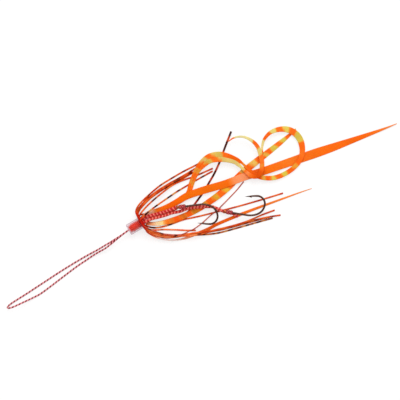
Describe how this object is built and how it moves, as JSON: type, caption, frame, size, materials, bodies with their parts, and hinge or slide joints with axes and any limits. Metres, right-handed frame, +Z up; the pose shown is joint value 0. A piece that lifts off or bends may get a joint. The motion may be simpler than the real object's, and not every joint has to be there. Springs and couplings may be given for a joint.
{
  "type": "jig skirt and assist-hook unit",
  "caption": "Leader loop, clear collar sleeve, banded silicone skirt, soft pointed ties and two snelled assist hooks, for a sliding jig head.",
  "frame": {"origin": "centre of the clear sleeve's front face, where a jig head seats", "axes": "+X back along the collar's axis and the skirt, +Z up from the surface that the unit lies on, +Y to the left"},
  "size_m": [0.1718, 0.0395, 0.0072],
  "materials": {
    "clear_silicone": "clear, glossy",
    "core_red": "glossy",
    "skirt_red": "satin",
    "pink_cord": "braided, with maroon marks",
    "red_cord": "braided, red and pink",
    "hook_steel": "black bronze, smooth",
    "red_thread": "wound thread, sealed",
    "orange_tie": "satin",
    "banded_tie": "satin, orange and yellow-olive bands",
    "skirt_orange": "satin, thin brown bands",
    "skirt_banded": "satin, black and gold bands",
    "skirt_dark": "satin, near black with red breaks"
  },
  "bodies": {
    "collar": {"core_tube": "core_red", "skirt_collar": "skirt_red", "core_cords": "pink_cord", "loop_stem": "pink_cord", "short_hook_line": "red_cord", "long_hook_line": "red_cord", "plain_tie_long": "orange_tie", "plain_tie_short": "orange_tie", "curly_tie": "banded_tie", "banded_tie": "banded_tie", "skirt_strand_1": "skirt_orange", "skirt_strand_2": "skirt_orange", "skirt_strand_3": "skirt_orange", "skirt_strand_4": "skirt_orange", "skirt_strand_5": "skirt_orange", "skirt_strand_6": "skirt_banded", "skirt_strand_7": "skirt_orange", "skirt_strand_8": "skirt_orange", "skirt_strand_9": "skirt_dark", "skirt_strand_10": "skirt_orange", "skirt_strand_11": "skirt_orange", "skirt_strand_12": "skirt_orange", "skirt_strand_13": "skirt_banded", "skirt_strand_14": "skirt_banded", "skirt_strand_15": "skirt_banded", "skirt_strand_16": "skirt_orange", "skirt_strand_17": "skirt_dark"},
    "sleeve": {"clear_sleeve": "clear_silicone"},
    "loop": {"loop_cord": "pink_cord"},
    "short_hook": {"short_hook": "hook_steel", "short_hook_whipping": "red_thread"},
    "long_hook": {"long_hook": "hook_steel", "long_hook_whipping": "red_thread"}
  },
  "joints": [
    {"name": "sleeve_slide", "type": "slide", "parent": "collar", "child": "sleeve", "axis": [-1, 0, 0], "range_m": [0, 0.005]},
    {"name": "loop_swing", "type": "hinge", "parent": "collar", "child": "loop", "pos_m": [-0.009, -0.0008, 0], "axis": [0, 0, 1], "range_deg": [-40, 40]},
    {"name": "short_hook_swing", "type": "hinge", "parent": "collar", "child": "short_hook", "pos_m": [0.02112, -0.00218, 0], "axis": [0, 0, 1], "range_deg": [-25, 25]},
    {"name": "long_hook_swing", "type": "hinge", "parent": "collar", "child": "long_hook", "pos_m": [0.03639, -0.01323, 0], "axis": [0, 0, 1], "range_deg": [-30, 30]}
  ]
}
